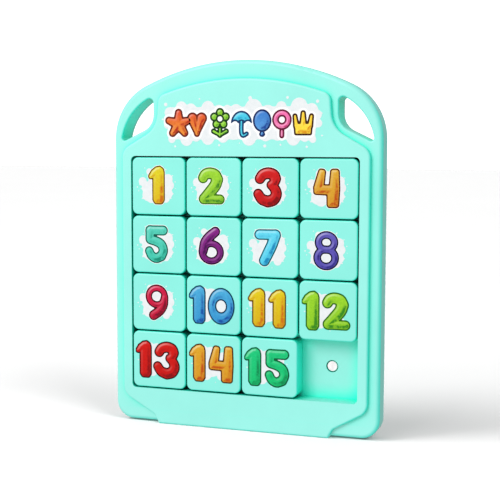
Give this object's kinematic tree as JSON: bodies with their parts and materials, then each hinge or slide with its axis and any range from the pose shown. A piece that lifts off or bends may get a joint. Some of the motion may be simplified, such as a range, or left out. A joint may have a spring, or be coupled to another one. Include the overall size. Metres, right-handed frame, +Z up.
{
  "type": "sliding tile puzzle",
  "caption": "Hand-held sliding number puzzle: square magnetic tiles in a recessed well, one cell left empty, arched board with two handle holes.",
  "frame": {"origin": "middle of the flat bottom edge that the board stands on, halfway between the panel's face and the back", "axes": "+Z up along the board's height, -Y out of the front, where the numbers are, +X to the right as the front is seen"},
  "size_m": [0.132, 0.014, 0.1744],
  "materials": {
    "mint_plastic": "satin moulded ABS",
    "cover_plastic": "satin moulded ABS, a little greyer",
    "tile_plastic": "satin moulded ABS",
    "screw_steel": "zinc plated",
    "disc_steel": "bright nickel plated",
    "magnet": "nickel plated magnet",
    "print_ink": "printed ink, for the numbers, clouds and header signs"
  },
  "bodies": {
    "board": {"front_shell": "mint_plastic", "back_cover": "cover_plastic", "back_screws": "screw_steel", "cell_discs": "disc_steel"},
    "tile_01": {"tile_01_cap": "tile_plastic", "tile_01_base": "tile_plastic", "tile_01_magnet": "magnet"},
    "tile_02": {"tile_02_cap": "tile_plastic", "tile_02_base": "tile_plastic", "tile_02_magnet": "magnet"},
    "tile_03": {"tile_03_cap": "tile_plastic", "tile_03_base": "tile_plastic", "tile_03_magnet": "magnet"},
    "tile_04": {"tile_04_cap": "tile_plastic", "tile_04_base": "tile_plastic", "tile_04_magnet": "magnet"},
    "tile_05": {"tile_05_cap": "tile_plastic", "tile_05_base": "tile_plastic", "tile_05_magnet": "magnet"},
    "tile_06": {"tile_06_cap": "tile_plastic", "tile_06_base": "tile_plastic", "tile_06_magnet": "magnet"},
    "tile_07": {"tile_07_cap": "tile_plastic", "tile_07_base": "tile_plastic", "tile_07_magnet": "magnet"},
    "tile_08": {"tile_08_cap": "tile_plastic", "tile_08_base": "tile_plastic", "tile_08_magnet": "magnet"},
    "tile_09": {"tile_09_cap": "tile_plastic", "tile_09_base": "tile_plastic", "tile_09_magnet": "magnet"},
    "tile_10": {"tile_10_cap": "tile_plastic", "tile_10_base": "tile_plastic", "tile_10_magnet": "magnet"},
    "tile_11": {"tile_11_cap": "tile_plastic", "tile_11_base": "tile_plastic", "tile_11_magnet": "magnet"},
    "tile_12": {"tile_12_cap": "tile_plastic", "tile_12_base": "tile_plastic", "tile_12_magnet": "magnet"},
    "tile_13": {"tile_13_cap": "tile_plastic", "tile_13_base": "tile_plastic", "tile_13_magnet": "magnet"},
    "tile_14": {"tile_14_cap": "tile_plastic", "tile_14_base": "tile_plastic", "tile_14_magnet": "magnet"},
    "tile_15": {"tile_15_cap": "tile_plastic", "tile_15_base": "tile_plastic", "tile_15_magnet": "magnet"}
  },
  "joints": [
    {"name": "tile_15_across", "type": "slide", "parent": "board", "child": "tile_15", "axis": [1, 0, 0], "range_m": [0, 0.028]},
    {"name": "tile_13_across", "type": "slide", "parent": "board", "child": "tile_13", "axis": [1, 0, 0], "range_m": [0, 0.028]},
    {"name": "tile_14_across", "type": "slide", "parent": "board", "child": "tile_14", "axis": [1, 0, 0], "range_m": [0, 0.028]},
    {"name": "tile_12_down", "type": "slide", "parent": "board", "child": "tile_12", "axis": [0, 0, 1], "range_m": [-0.028, 0]},
    {"name": "tile_04_down", "type": "slide", "parent": "board", "child": "tile_04", "axis": [0, 0, 1], "range_m": [-0.028, 0]},
    {"name": "tile_08_down", "type": "slide", "parent": "board", "child": "tile_08", "axis": [0, 0, 1], "range_m": [-0.028, 0]},
    {"name": "tile_01_lift", "type": "slide", "parent": "board", "child": "tile_01", "axis": [0, -1, 0], "range_m": [0, 0.02]},
    {"name": "tile_02_lift", "type": "slide", "parent": "board", "child": "tile_02", "axis": [0, -1, 0], "range_m": [0, 0.02]},
    {"name": "tile_03_lift", "type": "slide", "parent": "board", "child": "tile_03", "axis": [0, -1, 0], "range_m": [0, 0.02]},
    {"name": "tile_05_lift", "type": "slide", "parent": "board", "child": "tile_05", "axis": [0, -1, 0], "range_m": [0, 0.02]},
    {"name": "tile_06_lift", "type": "slide", "parent": "board", "child": "tile_06", "axis": [0, -1, 0], "range_m": [0, 0.02]},
    {"name": "tile_07_lift", "type": "slide", "parent": "board", "child": "tile_07", "axis": [0, -1, 0], "range_m": [0, 0.02]},
    {"name": "tile_09_lift", "type": "slide", "parent": "board", "child": "tile_09", "axis": [0, -1, 0], "range_m": [0, 0.02]},
    {"name": "tile_10_lift", "type": "slide", "parent": "board", "child": "tile_10", "axis": [0, -1, 0], "range_m": [0, 0.02]},
    {"name": "tile_11_lift", "type": "slide", "parent": "board", "child": "tile_11", "axis": [0, -1, 0], "range_m": [0, 0.02]}
  ],
  "couplings": [
    {"joint": "tile_13_across", "follows": "tile_15_across", "ratio": 1},
    {"joint": "tile_14_across", "follows": "tile_15_across", "ratio": 1},
    {"joint": "tile_04_down", "follows": "tile_12_down", "ratio": 1},
    {"joint": "tile_08_down", "follows": "tile_12_down", "ratio": 1}
  ]
}
